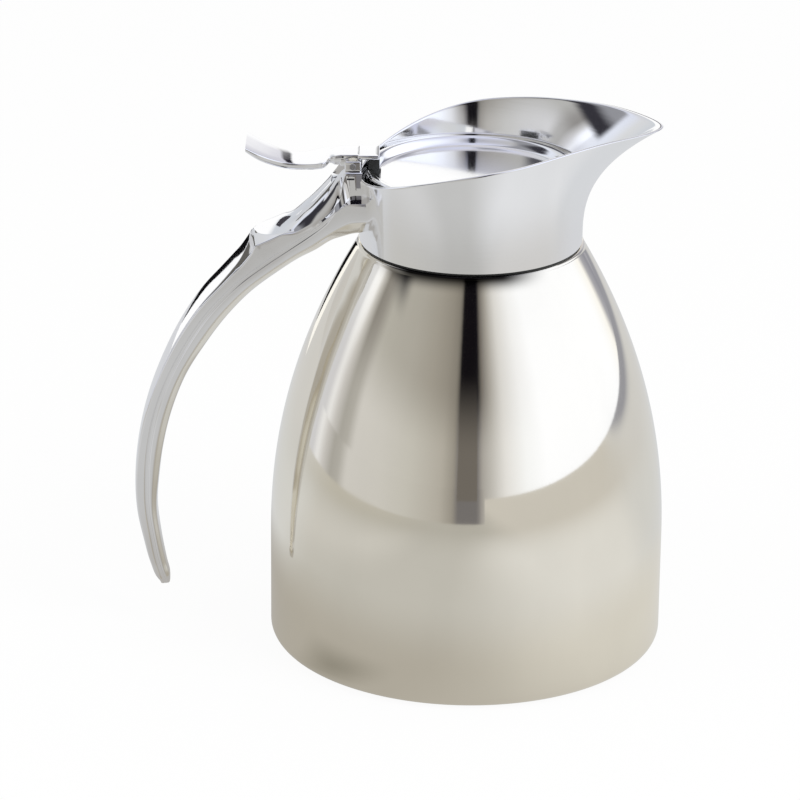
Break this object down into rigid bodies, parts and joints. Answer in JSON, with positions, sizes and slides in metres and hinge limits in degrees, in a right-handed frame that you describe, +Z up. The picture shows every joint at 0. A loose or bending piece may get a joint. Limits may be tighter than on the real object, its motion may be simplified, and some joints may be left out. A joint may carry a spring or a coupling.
{
  "type": "thermal carafe with flip lid",
  "caption": "Double-walled bell-shaped vacuum carafe with a flared pouring collar, an open curved side handle and a hinged insulating lid raised by a thumb lever.",
  "frame": {"origin": "on the body's turning axis, at the underside of the foot pad, where the carafe stands", "axes": "+Z up, +X towards the spout (the handle is on -X), +Y completes the right-handed frame; the part is symmetrical about the XZ plane"},
  "size_m": [0.1512, 0.1124, 0.1542],
  "materials": {
    "mirror_steel": "polished stainless steel sheet",
    "flask_steel": "satin stainless steel sheet",
    "foil": "bright rolled foil",
    "getter_metal": "matt sintered metal",
    "solder": "dull solder",
    "chrome_casting": "polished and chromed zinc casting",
    "black_plastic": "fine satin moulding",
    "black_rubber": "matt rubber",
    "silicone": "translucent grey silicone",
    "foam": "rigid foam",
    "bright_screw": "zinc-plated steel",
    "nylon": "natural nylon",
    "dark_pin": "dark hardened steel"
  },
  "bodies": {
    "carafe": {"outer_shell": "mirror_steel", "inner_flask": "flask_steel", "radiation_shield": "foil", "getter": "getter_metal", "base_plate": "flask_steel", "vacuum_seal": "solder", "base_cover": "black_plastic", "foot_pad": "black_rubber", "neck_gasket": "silicone", "collar_insert": "black_plastic", "collar": "mirror_steel", "screw_plate": "bright_screw", "handle_screws": "bright_screw", "handle_arm": "chrome_casting", "handle_strap": "chrome_casting", "handle_dowels": "bright_screw", "strap_screw": "bright_screw", "hinge_pin": "dark_pin"},
    "lid": {"lid_cap": "mirror_steel", "lid_plug": "black_plastic", "lid_insulation": "foam", "lid_gasket": "silicone", "lid_bracket": "bright_screw", "bracket_screws": "bright_screw", "thumb_lever": "chrome_casting", "hinge_bushes": "nylon"}
  },
  "joints": [
    {"name": "lid_hinge", "type": "hinge", "parent": "carafe", "child": "lid", "pos_m": [-0.0331, 0, 0.1426], "axis": [0, -1, 0], "range_deg": [0, 35]}
  ]
}
